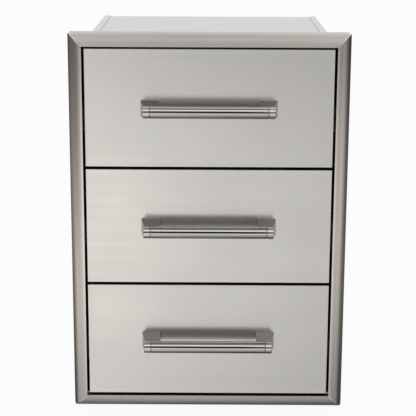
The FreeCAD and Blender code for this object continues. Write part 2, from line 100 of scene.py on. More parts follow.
@dataclass
class Workpiece:
    """A mesh on the bench, shaped with edit mode's tools.

    Args:
        body: the object that the primitive made, with its place in its mesh.
    """

    body: bpy.types.Object

    @classmethod
    def start(
        cls, name: str, primitive: Callable, scale: Sequence[float] = (1.0, 1.0, 1.0), **options: object
    ) -> Workpiece:
        """Start a piece from a primitive, and put its place into its mesh.

        Args:
            name: the piece's name.
            primitive: the operator that adds the primitive.
            scale: its scale along its own X, Y and Z.
            options: the operator's settings.

        Returns:
            The workpiece.
        """
        clear_bench()
        primitive(**options)
        piece = cls(bpy.context.object)
        piece.body.scale = scale
        piece.rename(name)
        piece.settle()
        return piece

    @classmethod
    def block(cls, name: str, low: Vector, high: Vector) -> Workpiece:
        """Start a piece from a block between its lowest and its highest corner."""
        cube = bpy.ops.mesh.primitive_cube_add
        return cls.start(name, cube, high - low, size=1.0, location=(low + high) / 2)

    @classmethod
    def disc(cls, name: str, centre: Vector, radius: float, sides: int) -> Workpiece:
        """Start a turned piece from a flat disc across X, with all of it selected in edit mode.

        Args:
            name: the piece's name.
            centre: the disc's centre.
            radius: its radius.
            sides: how many sides its rim has.

        Returns:
            The workpiece.
        """
        piece = cls.start(
            name,
            bpy.ops.mesh.primitive_circle_add,
            vertices=sides,
            radius=radius,
            fill_type="NGON",
            location=centre,
            rotation=ACROSS_X,
        )
        piece.edit()
        bpy.ops.mesh.select_all(action="SELECT")
        return piece

    def rename(self, name: str) -> None:
        """Name the piece and its mesh."""
        self.body.name = name
        self.body.data.name = name

    def settle(self) -> None:
        """Put the piece's place, turn and scale into its mesh."""
        bpy.ops.object.transform_apply(location=True, rotation=True, scale=True)

    def edit(self) -> None:
        """Go into edit mode."""
        bpy.ops.object.mode_set(mode="EDIT")

    def leave(self) -> None:
        """Go back to object mode."""
        bpy.ops.object.mode_set(mode="OBJECT")

    def hold(self) -> None:
        """Make this piece the only one that is selected, and the active one."""
        clear_bench()
        self.body.select_set(True)
        bpy.context.view_layer.objects.active = self.body

    def pick(self, kind: Element, wanted: Callable) -> None:
        """Select only the elements that pass a test.

        Args:
            kind: what to select.
            wanted: the test on one corner, edge or face.
        """
        bpy.ops.mesh.select_mode(type=kind.value)
        bpy.ops.mesh.select_all(action="DESELECT")
        mesh = bmesh.from_edit_mesh(self.body.data)
        groups = {Element.CORNERS: mesh.verts, Element.EDGES: mesh.edges, Element.FACES: mesh.faces}
        for item in groups[kind]:
            if wanted(item):
                item.select_set(True)
        mesh.select_flush_mode()
        bmesh.update_edit_mesh(self.body.data)

    def extrude_edges(self, by: Sequence[float]) -> None:
        """Fold out a new face from the selected edges, by a way along X, Y and Z."""
        bpy.ops.mesh.extrude_edges_move(TRANSFORM_OT_translate={"value": by})

    def draw_out(self, length: float) -> None:
        """Draw the selected faces out along X."""
        bpy.ops.mesh.extrude_region_move(TRANSFORM_OT_translate={"value": (length, 0.0, 0.0)})

    def round_edges(self, radius: float, facets: int) -> None:
        """Round the selected edges by a radius, in some facets."""
        bpy.ops.mesh.bevel(offset=radius, offset_type="OFFSET", segments=facets, profile=0.5)

    def cut(self, point: Vector, away: Vector, trim: bool) -> None:
        """Cut the whole piece by a plane.

        Args:
            point: a point of the plane.
            away: the plane's normal, towards the side that a trim takes off.
            trim: whether that side is taken off and the cut closed.
        """
        bpy.ops.mesh.select_all(action="SELECT")
        bpy.ops.mesh.bisect(
            plane_co=point,
            plane_no=away.normalized(),
            use_fill=trim,
            clear_outer=trim,
            threshold=CUT_WITHIN,
        )

    def face_out(self, probe: Callable, outward: Vector) -> None:
        """Make the faces point outwards.

        Args:
            probe: a test that picks one face.
            outward: the way in which that face has to point.
        """
        bpy.ops.mesh.select_all(action="SELECT")
        bpy.ops.mesh.remove_doubles(threshold=MERGE_WITHIN)
        bpy.ops.mesh.normals_make_consistent(inside=False)
        mesh = bmesh.from_edit_mesh(self.body.data)
        shown = next(face for face in mesh.faces if probe(face))
        if shown.normal.dot(outward) < 0:
            bpy.ops.mesh.select_all(action="SELECT")
            bpy.ops.mesh.flip_normals()

    def lay_grain(self) -> None:
        """Map the whole piece so that its U follows X, the way in which it is brushed."""
        bpy.ops.mesh.select_all(action="SELECT")
        bpy.ops.uv.cube_project(cube_size=1.0)

    def wall(self, thickness: float) -> None:
        """Give an open shell its sheet thickness, inwards.

        Args:
            thickness: the sheet's thickness.
        """
        solid = self.body.modifiers.new("wall", "SOLIDIFY")
        solid.thickness = thickness
        solid.offset = -1.0
        solid.use_even_offset = True
        solid.use_rim = True
        bpy.ops.object.modifier_apply(modifier=solid.name)

    def carve(self, tool: Workpiece) -> None:
        """Take another workpiece's shape out of this one, and put that workpiece away.

        Args:
            tool: the shape to take out.
        """
        taken = self.body.modifiers.new("carve", "BOOLEAN")
        taken.operation = "DIFFERENCE"
        taken.solver = "EXACT"
        taken.object = tool.body
        self.hold()
        bpy.ops.object.modifier_apply(modifier=taken.name)
        bpy.data.objects.remove(tool.body, do_unlink=True)

    def smooth(self, angle: float) -> None:
        """Shade the piece smooth, with its flats flat, and keep the edges sharper than an angle.

        Args:
            angle: that angle, in degrees.
        """
        self.hold()
        bpy.ops.object.shade_smooth_by_angle(angle=math.radians(angle))
        even = self.body.modifiers.new("even_shading", "WEIGHTED_NORMAL")
        even.keep_sharp = True
        bpy.ops.object.modifier_apply(modifier=even.name)

    def place(self, turn: Matrix) -> None:
        """Turn and move the piece, and put its new place into its mesh.

        Args:
            turn: the turn and move.
        """
        self.hold()
        self.body.matrix_world = turn
        self.settle()

    def copy(self, name: str, turn: Matrix) -> Workpiece:
        """Copy the piece with a mesh of its own and put the copy in its place.

        Args:
            name: the copy's name.
            turn: the turn and move from this piece to the copy.

        Returns:
            The copy.
        """
        self.hold()
        bpy.ops.object.duplicate(linked=False)
        twin = Workpiece(bpy.context.object)
        twin.rename(name)
        twin.place(turn)
        return twin

    def join(self, other: Workpiece) -> None:
        """Make another workpiece a part of this one.

        Args:
            other: the workpiece that joins it.
        """
        self.hold()
        other.body.select_set(True)
        bpy.ops.object.join()

    def mark(self, number: int) -> None:
        """Mark the selected faces for another of the piece's finishes.

        Args:
            number: the finish's place among the piece's finishes, where 0 is its main one.
        """
        while len(self.body.material_slots) <= number:
            bpy.ops.object.material_slot_add()
        self.body.active_material_index = number
        bpy.ops.object.material_slot_assign()

    def finish(self, body: str, slot: str, finishes: Sequence[Finish], *nodes: str) -> None:
        """Give the piece its materials, its body and the solids that it stands for.

        Args:
            body: the body that it rides on.
            slot: the name of a material slot; not used.
            finishes: its main finish, and those of its faces that have a finish of their own.
            nodes: the solids that it stands for.
        """
        materials = self.body.data.materials
        while len(materials) < len(finishes):
            materials.append(None)
        for number, look in enumerate(finishes):
            materials[number] = look.material()
        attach(self.body, body)
        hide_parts(*nodes)
        LOG.info("%s: %d faces, on %s", self.body.name, len(self.body.data.polygons), body)


def clear_bench() -> None:
    """Go to object mode and select nothing."""
    if bpy.context.object and bpy.context.object.mode != "OBJECT":
        bpy.ops.object.mode_set(mode="OBJECT")
    bpy.ops.object.select_all(action="DESELECT")


def near(value: float, target: float, within: float = TINY) -> bool:
    """Whether two lengths are the same."""
    return abs(value - target) < within


def middle(edge: bmesh.types.BMEdge) -> Vector:
    """The middle of an edge."""
    return (edge.verts[0].co + edge.verts[1].co) / 2


def half_turn(centre: Vector) -> Matrix:
    """A half turn about the line along Y through a point."""
    there = Matrix.Translation(centre)
    return there @ Matrix.Rotation(math.pi, 4, "Y") @ there.inverted()


# Finishes


@dataclass
class Shader:
    """A material's or the world's node tree, with short ways to add to it.

    Args:
        tree: the node tree.
    """

    tree: bpy.types.NodeTree

    @classmethod
    def of_material(cls, name: str) -> tuple[Shader, bpy.types.Material]:
        """Start a material.

        Args:
            name: the material's name.

        Returns:
            Its node tree, and the material.
        """
        material = bpy.data.materials.new(name)
        material.use_nodes = True
        return cls(material.node_tree), material

    def find(self, kind: str) -> bpy.types.Node:
        """The tree's own node of a kind."""
        return next(node for node in self.tree.nodes if node.type == kind)

    def add(self, kind: str, inputs: dict[Union[int, str], object], **settings: object) -> bpy.types.Node:
        """Add a node.

        Args:
            kind: the node's type.
            inputs: values or sockets for its inputs, by their names or numbers.
            settings: its settings.

        Returns:
            The node.
        """
        node = self.tree.nodes.new(kind)
        for setting, value in settings.items():
            setattr(node, setting, value)
        for name, value in inputs.items():
            self.feed(node.inputs[name], value)
        return node

    def feed(self, socket: bpy.types.NodeSocket, value: object) -> None:
        """Set an input to a value, or link it to a socket.

        Args:
            socket: the input.
            value: the value or the socket.
        """
        if isinstance(value, bpy.types.NodeSocket):
            self.tree.links.new(value, socket)
        else:
            socket.default_value = value

    def maths(self, operation: str, first: Number, second: Number = 0.0) -> bpy.types.NodeSocket:
        """The result of one operation on one or two numbers."""
        return self.add("ShaderNodeMath", {0: first, 1: second}, operation=operation).outputs[0]

    def span(
        self, value: Number, start: float, end: float, low: Number, high: Number
    ) -> bpy.types.NodeSocket:
        """Go smoothly from one number to another while a value crosses a span.

        Args:
            value: the value.
            start: where the span starts.
            end: where it ends.
            low: the result before the span.
            high: the result after it.

        Returns:
            The result.
        """
        inputs = {"Value": value, "From Min": start, "From Max": end, "To Min": low, "To Max": high}
        node = self.add("ShaderNodeMapRange", inputs, interpolation_type="SMOOTHSTEP")
        return node.outputs["Result"]

    def noise(self, scale: Sequence[float], detail: float, offset: float = 0.0) -> bpy.types.NodeSocket:
        """A noise on the object's own coordinates.

        Args:
            scale: its frequency along X, Y and Z, per metre.
            detail: how many octaves it has.
            offset: how far it is moved, so that two noises differ.

        Returns:
            The noise, about 0 to 1.
        """
        moved = {"Vector": self.object_place(), "Scale": scale, "Location": (offset, offset, offset)}
        mapping = self.add("ShaderNodeMapping", moved).outputs[0]
        inputs = {"Vector": mapping, "Scale": 1.0, "Detail": detail}
        return self.add("ShaderNodeTexNoise", inputs).outputs[0]

    def object_place(self) -> bpy.types.NodeSocket:
        """A point's place in the object's own coordinates."""
        return self.add("ShaderNodeTexCoord", {}).outputs["Object"]

    def blend(self, share: Number, first: Colour, second: Colour) -> bpy.types.NodeSocket:
        """Mix two colours, by the share of the second."""
        inputs = {0: share, 6: (*first, 1.0), 7: (*second, 1.0)}
        return self.add("ShaderNodeMix", inputs, data_type="RGBA").outputs[2]

    def mix(self, share: Number, first: bpy.types.Node, second: bpy.types.Node) -> bpy.types.Node:
        """Mix two surfaces or backgrounds, by the share of the second."""
        return self.add("ShaderNodeMixShader", {0: share, 1: first.outputs[0], 2: second.outputs[0]})

    def bump(self, height: Number, distance: float, strength: float) -> bpy.types.NodeSocket:
        """Raise the surface by a pattern.

        Args:
            height: the pattern, 0 to 1.
            distance: the height of its 1, in metres.
            strength: how much of it shows.

        Returns:
            The surface's normal.
        """
        inputs = {"Height": height, "Distance": distance, "Strength": strength}
        return self.add("ShaderNodeBump", inputs).outputs[0]


@dataclass(frozen=True)
class Pattern:
    """A noise, and what it does to a metal.

    Args:
        along: its frequency along the grain, per metre.
        across: its frequency across the grain.
        detail: how many octaves it has.
        offset: how far it is moved, so that two noises differ.
        shade: its share in the light and dark shading.
        matt: how far it moves the roughness up and down.
        depth: how deep its relief is.
        show: how much of the relief shows.
    """

    along: float
    across: float
    detail: float
    offset: float = 0.0
    shade: float = 0.0
    matt: float = 0.0
    depth: float = 0.0
    show: float = 0.0

    @classmethod
    def even(cls, scale: float, **rest: float) -> Pattern:
        """A pattern with the same frequency every way."""
        return cls(along=scale, across=scale, **rest)

    def scale(self, grain: Grain) -> tuple[float, ...]:
        """Its frequencies on a piece with a grain.

        Args:
            grain: the piece's grain.

        Returns:
            The frequencies along X, Y and Z.
        """
        if grain is Grain.ROUND_X:
            return (self.across, self.along, self.along)
        return tuple(self.along if axis == grain.value else self.across for axis in range(3))


@dataclass(frozen=True)
class Metal:
    """A metal with fine patterns.

    Args:
        name: the material's name.
        colour: its mean colour.
        grain: which way it was brushed, rolled or drawn.
        roughness: its mean roughness.
    """

    name: str
    colour: Colour
    grain: Grain
    roughness: float

    @property
    def patterns(self) -> tuple[Pattern, ...]:
        """The patterns, which each kind of metal has for itself."""
        return ()

    @property
    def shades(self) -> tuple[float, float]:
        """How dark and how light the metal gets, as shares of its mean colour."""
        return (1.0, 1.0)

    def spread(self, tree: Shader, noise: Number, low: float, high: float) -> bpy.types.NodeSocket:
        """Stretch the middle of a noise, which is what it mostly gives, to a range."""
        return tree.span(noise, NOISE_LOW, NOISE_HIGH, low, high)

    def lay(self, tree: Shader) -> tuple[Number, Number, object]:
        """Lay the metal's patterns.

        Args:
            tree: the material's node tree.

        Returns:
            The share of the lighter colour, the roughness and the normal.
        """
        shade: Number = 0.0
        matt: Number = self.roughness
        normal: object = (0.0, 0.0, 0.0)
        for pattern in self.patterns:
            noise = tree.noise(pattern.scale(self.grain), pattern.detail, pattern.offset)
            if pattern.shade > 0.0:
                shade = tree.maths("ADD", shade, tree.maths("MULTIPLY", noise, pattern.shade))
            if pattern.matt > 0.0:
                matt = tree.maths("ADD", matt, self.spread(tree, noise, -pattern.matt, pattern.matt))
            if pattern.depth > 0.0:
                normal = tree.bump(noise, pattern.depth, pattern.show)
        return self.spread(tree, shade, 0.0, 1.0), matt, normal

    def material(self) -> bpy.types.Material:
        """Build the material.

        Returns:
            The material.
        """
        tree, material = Shader.of_material(self.name)
        share, matt, normal = self.lay(tree)
        dark, light = (tint(self.colour, factor) for factor in self.shades)
        surface = tree.find("BSDF_PRINCIPLED").inputs
        tree.feed(surface["Base Color"], tree.blend(share, dark, light))
        tree.feed(surface["Roughness"], matt)
        tree.feed(surface["Normal"], normal)
        surface["Metallic"].default_value = 1.0
        return material


def tint(colour: Colour, factor: float) -> Colour:
    """A colour made lighter or darker."""
    return tuple(min(1.0, part * factor) for part in colour)


@dataclass(frozen=True)
class BrushedSteel(Metal):
    """Stainless steel brushed one way: fine lines, soft bands and faint clouds.

    Args:
        stretch: how much further a reflection spreads across the grain than along it, 0 to 1.
        line_depth: the depth of the brushed lines.
        contrast: how much the bands differ in brightness.
    """

    stretch: float = 0.0
    line_depth: float = 0.006 * MM
    contrast: float = 0.025

    @property
    def patterns(self) -> tuple[Pattern, ...]:
        """The brushed lines, the bands and the clouds."""
        return (
            Pattern(along=35.0, across=2600.0, detail=2.0, shade=0.4, depth=self.line_depth, show=0.5),
            Pattern(along=2.5, across=170.0, detail=3.0, offset=3.7, shade=0.6, matt=0.01),
            Pattern.even(7.0, detail=2.0, offset=9.1, matt=0.01),
        )

    @property
    def shades(self) -> tuple[float, float]:
        """How dark and how light the steel gets, as shares of its mean colour."""
        return (1.0 - self.contrast, 1.0 + self.contrast)

    def material(self) -> bpy.types.Material:
        """Build the material, and stretch its reflections across the grain.

        Returns:
            The material.
        """
        material = super().material()
        tree = Shader(material.node_tree)
        surface = tree.find("BSDF_PRINCIPLED").inputs
        surface["Anisotropic"].default_value = self.stretch
        surface["Anisotropic Rotation"].default_value = QUARTER_TURN
        if self.stretch > 0.0:
            along_u = tree.add("ShaderNodeTangent", {}, direction_type="UV_MAP")
            tree.feed(surface["Tangent"], along_u.outputs[0])
        return material


@dataclass(frozen=True)
class RolledSheet(Metal):
    """Plain stainless sheet as it comes from the mill: a soft grey with faint rolling marks.

    Args:
        shades: how dark and how light it gets, as shares of its mean colour.
    """

    shades: tuple[float, float] = (0.96, 1.03)

    @property
    def patterns(self) -> tuple[Pattern, ...]:
        """The rolling marks, the mottle and the fine grain."""
        return (
            Pattern(along=2.0, across=90.0, detail=4.0, shade=0.6, matt=0.02),
            Pattern.even(60.0, detail=3.0, offset=5.3, shade=0.4, matt=0.04),
            Pattern.even(1500.0, detail=2.0, offset=2.9, depth=0.01 * MM, show=0.35),
        )


@dataclass(frozen=True)
class SmallSteel(Metal):
    """Steel of small pieces with a thin film of grease, and of the handles' grooves in a painted shade.

    Args:
        shades: how dark and how light it gets, as shares of its mean colour.
    """

    shades: tuple[float, float] = (0.9, 1.04)

    @property
    def patterns(self) -> tuple[Pattern, ...]:
        """The grease and the scuffs."""
        return (
            Pattern.even(110.0, detail=3.0, shade=1.0, matt=0.07),
            Pattern.even(900.0, detail=3.0, offset=4.4, matt=0.03, depth=0.008 * MM, show=0.3),
        )


@dataclass(frozen=True)
class ZincPlate(Metal):
    """Black zinc on pressed steel with a fine crystal pattern; its near black also paints the gaps' shade.

    Args:
        shades: how dark and how light it gets, as shares of its mean colour.
        crystal_matt: how far its crystals raise the roughness.
        crystal_scale: how many crystals there are to a metre.
        crystal_depth: how deep their relief is.
        crystal_show: how much of the relief shows.
    """

    shades: tuple[float, float] = (0.93, 1.05)
    crystal_matt: float = 0.08
    crystal_scale: float = 420.0
    crystal_depth: float = 0.006 * MM
    crystal_show: float = 0.3

    def lay(self, tree: Shader) -> tuple[Number, Number, object]:
        """Lay the crystals and a film over them.

        Args:
            tree: the material's node tree.

        Returns:
            The share of the lighter colour, the roughness and the normal.
        """
        inputs = {"Vector": tree.object_place(), "Scale": self.crystal_scale}
        crystals = tree.add("ShaderNodeTexVoronoi", inputs).outputs["Color"]
        pale = tree.add("ShaderNodeRGBToBW", {"Color": crystals}).outputs[0]
        film = Pattern(along=9.0, across=30.0, detail=3.0, matt=0.05)
        noise = tree.noise(film.scale(self.grain), film.detail)
        matt = tree.maths(
            "ADD",
            self.spread(tree, noise, -film.matt, film.matt),
            tree.span(pale, 0.0, 1.0, self.roughness, self.roughness + self.crystal_matt),
        )
        return pale, matt, tree.bump(pale, self.crystal_depth, self.crystal_show)


WARM_STEEL = (0.66, 0.64, 0.60)
RAIL_STEEL = (0.67, 0.635, 0.59)
# painted shade: the bottom rail is darker than the top rail of the same steel
LOW_RAIL_SHADE_STEEL = (0.58, 0.54, 0.49)
STILE_STEEL = (0.69, 0.635, 0.58)
# painted shade: the frame's folds in the opening are darker, so the gaps round the drawers read dark
FOLD_SHADE_STEEL = (0.45, 0.435, 0.41)
HANDLE_STEEL = (0.56, 0.545, 0.53)
# painted shade: the tube's back, which faces the drawer, is darker
TUBE_BACK_SHADE_STEEL = (0.3, 0.29, 0.275)
# painted shade: the brackets are darker than the handle's steel, for their dark tops
BRACKET_SHADE_STEEL = (0.36, 0.345, 0.33)
# painted shade: the caps' grooves are nearly black
GROOVE_SHADE_STEEL = (0.17, 0.16, 0.15)
# painted highlight: pale steel for the weld strips along the rails' mitres and the brackets' outer sides
PALE_HIGHLIGHT_STEEL = (0.92, 0.89, 0.85)
PLAIN_STEEL = (0.67, 0.67, 0.67)
# black zinc, also dark to paint the shade in the gaps round the drawers
BLACK_ZINC_GAP_SHADE = (0.05, 0.051, 0.055)
CAGE_STEEL = (0.62, 0.62, 0.61)
RIVET_STEEL = (0.66, 0.66, 0.65)
SCREW_STEEL = (0.6, 0.6, 0.59)

RAIL_BRUSHING = {"grain": Grain.ALONG_X, "roughness": 0.36, "stretch": 0.9}
POLISHED = {"line_depth": 0.003 * MM, "contrast": 0.02}


class Finish(Enum):
    """The unit's finishes, each made once.

    The frame's folds in the opening are darker, a painted shade for the dark gaps round the drawers;
    the strips along the rails' mitres are pale, partly a ground weld and mostly a painted highlight;
    and the backs of the handles' tubes are darker, a painted shade.
    """

    TOP_RAIL = BrushedSteel("rail_brushed", RAIL_STEEL, **RAIL_BRUSHING)
    # painted shade: a darker copy of the rail steel for the bottom rail
    BOTTOM_RAIL = BrushedSteel("low_rail_painted_shade", LOW_RAIL_SHADE_STEEL, **RAIL_BRUSHING)
    STILE = BrushedSteel("stile_brushed", STILE_STEEL, Grain.ALONG_Z, roughness=0.22, stretch=0.6)
    # painted shade on the folds in the opening
    FOLD = BrushedSteel("fold_painted_shade", FOLD_SHADE_STEEL, Grain.ALONG_X, roughness=0.14)
    # partly a ground weld, mostly a painted highlight along each rail's mitre
    WELD = BrushedSteel("weld_painted_highlight", PALE_HIGHLIGHT_STEEL, Grain.ALONG_X, roughness=0.3)
    SKIN = BrushedSteel("skin_brushed", WARM_STEEL, Grain.ALONG_X, roughness=0.22, stretch=0.7)
    TUBE = BrushedSteel("tube_brushed", HANDLE_STEEL, Grain.ALONG_X, roughness=0.08, **POLISHED)
    # painted shade on the tube's back
    TUBE_BACK = BrushedSteel("tube_back_painted_shade", TUBE_BACK_SHADE_STEEL, Grain.ALONG_X, roughness=0.2)
    CAP = BrushedSteel("cap_turned", WARM_STEEL, Grain.ROUND_X, roughness=0.1, **POLISHED)
    # painted shade in the caps' grooves
    GROOVE = SmallSteel("groove_painted_shade", GROOVE_SHADE_STEEL, Grain.ALONG_X, roughness=0.4)
    # painted shade on the brackets
    BRACKET = BrushedSteel("bracket_painted_shade", BRACKET_SHADE_STEEL, Grain.ALONG_X, roughness=0.1)
    # painted highlight on the brackets' outer sides
    BRACKET_SIDE = BrushedSteel("bracket_side_painted_highlight", PALE_HIGHLIGHT_STEEL, Grain.ALONG_Y, roughness=0.3)
    PANEL = RolledSheet("cabinet_sheet", PLAIN_STEEL, Grain.ALONG_X, roughness=0.38)
    LINER = RolledSheet("liner_sheet", PLAIN_STEEL, Grain.ALONG_X, roughness=0.38)
    TUB = RolledSheet("tub_sheet", PLAIN_STEEL, Grain.ALONG_Y, roughness=0.34)
    # black zinc slides, which also paint the shade in the gaps
    ZINC = ZincPlate("rail_zinc", BLACK_ZINC_GAP_SHADE, Grain.ALONG_Y, roughness=0.28)
    CAGE = SmallSteel("cage_steel", CAGE_STEEL, Grain.ALONG_X, roughness=0.25)
    RIVET = SmallSteel("rivet_steel", RIVET_STEEL, Grain.ALONG_X, roughness=0.3)
    SCREW = SmallSteel("screw_steel", SCREW_STEEL, Grain.ALONG_X, roughness=0.3)

    @cache
    def material(self) -> bpy.types.Material:
        """The finish's material, made when it is first asked for."""
        return self.value.material()

    def dress(self, *nodes: str) -> None:
        """Give solids of the frame this finish.

        Args:
            nodes: the solids' nodes.
        """
        for node in nodes:
            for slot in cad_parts[node].material_slots:
                slot.material = self.material()
            LOG.info("%s: %s", node, self.value.name)


# Sub-assemblies


@dataclass
class FrontFrame:
    """The front frame: two rails and two stiles folded from sheet, mitred and welded.

    A member's profile goes from the opening's inner side over a narrow lip and a long curve to the
    counter, and folds back against it.
    """

    opening_width: float = 388.0 * MM
    opening_height: float = 561.5 * MM
    face: float = 22.0 * MM
    depth: float = 18.0 * MM
    sheet: float = 1.2 * MM
    lip: float = 2.8 * MM
    bulge: float = 4.8 * MM
    curve_steps: int = 18
    fold_back: float = 10.0 * MM
    side_end: float = 3.0 * MM
    lip_radius: float = 0.4 * MM
    lip_facets: int = 4
    edge_radius: float = 0.6 * MM
    edge_facets: int = 3
    corner_radius: float = 6.5 * MM
    corner_cuts: int = 4
    weld_width: float = 2.6 * MM
    weld_sink: float = 0.5 * MM
    mitre_gap: float = 0.01 * MM
    smooth_angle: float = 28.0

    @property
    def middle_z(self) -> float:
        """Height of the opening's middle."""
        return self.opening_height / 2 + self.face

    def curve(self) -> tuple[Vector, float]:
        """The circle of the profile's long curve.

        Returns:
            Its centre in the plane across the member and the angle that it turns.
        """
        start = Vector((0.0, -self.depth, self.lip))
        end = Vector((0.0, 0.0, self.face))
        chord = end - start
        radius = chord.length**2 / (8 * self.bulge) + self.bulge / 2
        across = Vector((0.0, chord.z, -chord.y)).normalized()
        centre = (start + end) / 2 + across * (radius - self.bulge)
        return centre, 2 * math.asin(chord.length / (2 * radius))

    def mitres(self, half: float, gap: float) -> list[tuple[Vector, Vector]]:
        """The planes of a member's two mitres.

        Args:
            half: half of the opening's size along the member.
            gap: how far the planes are drawn in.

        Returns:
            A point and the outward normal of each plane.
        """
        planes = []
        for side in Side:
            normal = Vector((side.value, 0.0, -1.0)).normalized()
            planes.append((Vector((side.value * half, 0.0, 0.0)) - normal * gap, normal))
        return planes

    def member(self, name: str, half: float) -> Workpiece:
        """Model a member along X, with the opening's edge at height 0.

        Args:
            name: its name.
            half: half of the opening's size along it.

        Returns:
            The member.
        """
        piece = self.shell(name, 2 * (half + 2 * self.face))
        self.grind_welds(piece, half)
        piece.leave()
        piece.wall(self.sheet)
        piece.edit()
        self.pick_fold(piece, -self.depth, 0.0)
        piece.round_edges(self.lip_radius, self.lip_facets)
        self.pick_fold(piece, 0.0, self.face)
        piece.round_edges(self.edge_radius, self.edge_facets)
        for point, normal in self.mitres(half, self.mitre_gap):
            piece.cut(point, normal, trim=True)
        self.round_corners(piece, half)
        self.mark_finishes(piece, half)
        piece.lay_grain()
        piece.leave()
        piece.smooth(self.smooth_angle)
        return piece

    def shell(self, name: str, length: float) -> Workpiece:
        """Fold a member's profile as an open shell, starting from its lip, and stay in edit mode.

        Args:
            name: the member's name.
            length: the shell's length along X.

        Returns:
            The shell.
        """
        piece = Workpiece.start(
            name,
            bpy.ops.mesh.primitive_plane_add,
            (length, self.lip, 1.0),
            size=1.0,
            location=(0.0, -self.depth, self.lip / 2),
            rotation=UPRIGHT,
        )
        piece.edit()
        piece.pick(Element.EDGES, lambda edge: near(middle(edge).z, 0.0))
        piece.extrude_edges((0.0, self.depth - self.side_end, 0.0))
        centre, angle = self.curve()
        piece.pick(Element.EDGES, lambda edge: near(middle(edge).z, self.lip))
        bpy.ops.mesh.spin(steps=self.curve_steps, angle=angle, center=centre, axis=(1.0, 0.0, 0.0))
        piece.pick(Element.EDGES, lambda edge: all(near(c.co.z, self.face) for c in edge.verts))
        piece.extrude_edges((0.0, 0.0, -self.fold_back))
        piece.face_out(lambda face: near(face.calc_center_median().y, -self.depth), FORWARD)
        return piece

    def pick_fold(self, piece: Workpiece, y: float, z: float) -> None:
        """Select a fold's outer edge along the member.

        Args:
            piece: the member.
            y: where the fold is from front to back.
            z: its height.
        """
        reach = 1.5 * self.weld_sink
        piece.pick(
            Element.EDGES,
            lambda edge: all(near(c.co.y, y, reach) and near(c.co.z, z, reach) for c in edge.verts),
        )

    def grind_welds(self, piece: Workpiece, half: float) -> None:
        """Let the face fall away slightly towards each mitre, as a weld that was ground flush.

        Args:
            piece: the member, still an open shell.
            half: half of the opening's size along it.
        """
        for point, normal in self.mitres(half, 0.0):
            for share in (1.0, 0.5, 0.0):
                piece.cut(point - normal * self.weld_width * share, normal, trim=False)
            for share, sink in ((0.0, self.weld_sink), (0.5, self.weld_sink / 4)):
                level = -self.weld_width * share
                piece.pick(Element.CORNERS, lambda corner: near((corner.co - point).dot(normal), level))
                bpy.ops.transform.shrink_fatten(value=-sink)

    def round_corners(self, piece: Workpiece, half: float) -> None:
        """Round the frame's outer corners, half of each corner on each member.

        Args:
            piece: the member.
            half: half of the opening's size along it.
        """
        inset = self.face - self.corner_radius
        for side in Side:
            centre = Vector((side.value * (half + inset), 0.0, inset))
            for number in range(1, self.corner_cuts + 1):
                angle = math.radians(45.0) * (number - 0.5) / self.corner_cuts
                normal = Vector((side.value * math.sin(angle), 0.0, math.cos(angle)))
                piece.cut(centre + normal * self.corner_radius, normal, trim=True)

    def mark_finishes(self, piece: Workpiece, half: float) -> None:
        """Mark the mitres' weld faces for a painted highlight and the opening's side for a painted shade.

        Args:
            piece: the member.
            half: half of the opening's size along it.
        """
        planes = self.mitres(half, 0.0)
        reach = self.weld_width / 2 + TINY

        def on_weld(face: bmesh.types.BMFace) -> bool:
            """Whether a face lies along a mitre."""
            centre = face.calc_center_median()
            return any((centre - point).dot(normal) > -reach for point, normal in planes)

        def in_opening(face: bmesh.types.BMFace) -> bool:
            """Whether a face is the member's side in the opening."""
            return face.normal.z < -SQUARE_ON and near(face.calc_center_median().z, 0.0)

        # the strips along the mitres take the weld's painted highlight
        piece.pick(Element.FACES, on_weld)
        piece.mark(THIRD_FINISH)
        # the member's side in the opening takes the fold's painted shade
        piece.pick(Element.FACES, in_opening)
        piece.mark(SECOND_FINISH)

    def build(self) -> None:
        """Build the four members."""
        middle_point = Vector((0.0, 0.0, self.middle_z))
        top = self.member("top_rail", self.opening_width / 2)
        top.place(Matrix.Translation(middle_point + Vector((0.0, 0.0, self.opening_height / 2))))
        bottom = top.copy("bottom_rail", half_turn(middle_point))
        right = self.member("right_stile", self.opening_height / 2)
        side = Matrix.Translation(middle_point + Vector((self.opening_width / 2, 0.0, 0.0)))
        right.place(side @ Matrix.Rotation(math.pi / 2, 4, "Y"))
        left = right.copy("left_stile", half_turn(middle_point))
        members = (
            (top, "frame_top_rail", Finish.TOP_RAIL, Finish.WELD),
            (bottom, "frame_bottom_rail", Finish.BOTTOM_RAIL, Finish.WELD),
            (left, "frame_left_stile", Finish.STILE, Finish.STILE),
            (right, "frame_right_stile", Finish.STILE, Finish.STILE),
        )
        for piece, node, face, weld in members:
            piece.finish("cabinet", "frame_steel", (face, Finish.FOLD, weld), node)


@dataclass
class Cabinet:
    """The sheet steel cabinet behind the frame, whose solids have their final shapes."""

    panels: tuple[str, ...] = ("left_side", "right_side", "top", "bottom", "back")

    def dress(self) -> None:
        """Give the cabinet's solids their finishes."""
        Finish.PANEL.dress(*(f"cabinet_{panel}" for panel in self.panels))
        Finish.RIVET.dress("cabinet_rivets")


